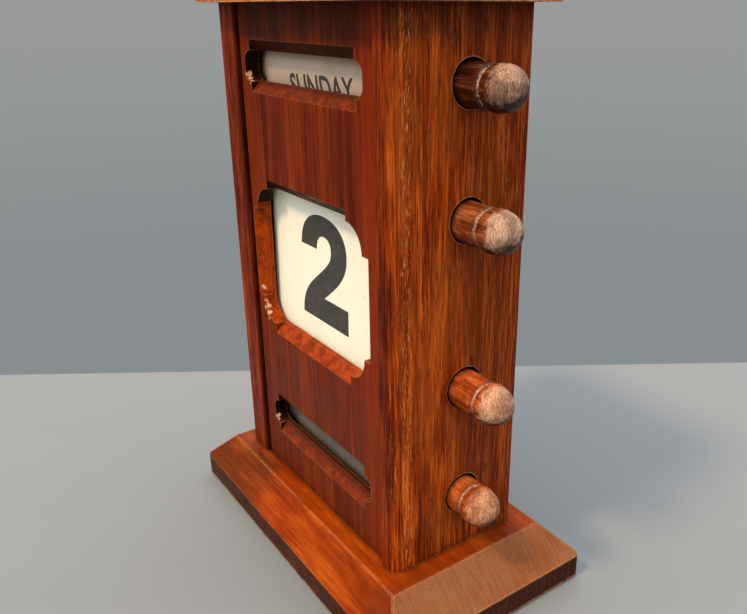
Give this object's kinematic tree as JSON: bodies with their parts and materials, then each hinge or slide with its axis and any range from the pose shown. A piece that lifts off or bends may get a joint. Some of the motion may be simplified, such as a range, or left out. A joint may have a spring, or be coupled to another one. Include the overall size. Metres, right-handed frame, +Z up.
{
  "type": "perpetual desk calendar",
  "caption": "Wooden perpetual desk calendar: hollow case with three front windows, weekday and month rollers and a date scroll turned by side knobs, on a bevelled plinth.",
  "frame": {"origin": "on the flat underside, under the middle of the case", "axes": "+Z up, front with the windows faces -Y, knobs stand out towards +X"},
  "size_m": [0.1653, 0.095, 0.235],
  "materials": {
    "wood_plinth": "satin",
    "wood_case": "satin",
    "wood_panel": "satin",
    "wood_back": "matte",
    "raw_wood": "matte",
    "knob_wood": "satin",
    "date_paper": "matte",
    "weekday_paper": "matte",
    "month_paper": "matte",
    "baize": "matte",
    "steel": "satin",
    "brass": "satin"
  },
  "bodies": {
    "case": {"base_plinth": "wood_plinth", "base_baize": "baize", "base_screws": "steel", "left_side_board": "wood_case", "right_side_board": "wood_case", "front_panel": "wood_panel", "back_panel": "wood_back", "back_panel_screws": "brass", "glue_blocks": "raw_wood", "top_cap": "wood_plinth", "cap_dowels": "raw_wood", "date_scroll_front": "date_paper"},
    "weekday_roller": {"weekday_spindle": "knob_wood", "weekday_drum": "raw_wood", "weekday_band": "weekday_paper", "weekday_pivot_pin": "steel"},
    "date_upper_roller": {"date_upper_spindle": "knob_wood", "date_upper_core": "raw_wood", "date_upper_coil": "date_paper", "date_upper_pivot_pin": "steel"},
    "date_lower_roller": {"date_lower_spindle": "knob_wood", "date_lower_core": "raw_wood", "date_lower_coil": "date_paper", "date_lower_pivot_pin": "steel"},
    "month_roller": {"month_spindle": "knob_wood", "month_drum": "raw_wood", "month_band": "month_paper", "month_pivot_pin": "steel"}
  },
  "joints": [
    {"name": "weekday_turn", "type": "hinge", "parent": "case", "child": "weekday_roller", "pos_m": [0, 0.00325, 0.1987], "axis": [-1, 0, 0], "continuous": true},
    {"name": "date_upper_turn", "type": "hinge", "parent": "case", "child": "date_upper_roller", "pos_m": [0, 0.00325, 0.1545], "axis": [-1, 0, 0], "range_deg": [-169, 4929]},
    {"name": "date_lower_turn", "type": "hinge", "parent": "case", "child": "date_lower_roller", "pos_m": [0, 0.00325, 0.0925], "axis": [-1, 0, 0], "range_deg": [-162, 4684]},
    {"name": "month_turn", "type": "hinge", "parent": "case", "child": "month_roller", "pos_m": [0, 0.00325, 0.0474], "axis": [-1, 0, 0], "continuous": true}
  ],
  "couplings": [
    {"joint": "date_lower_turn", "follows": "date_upper_turn", "ratio": 0.95}
  ]
}
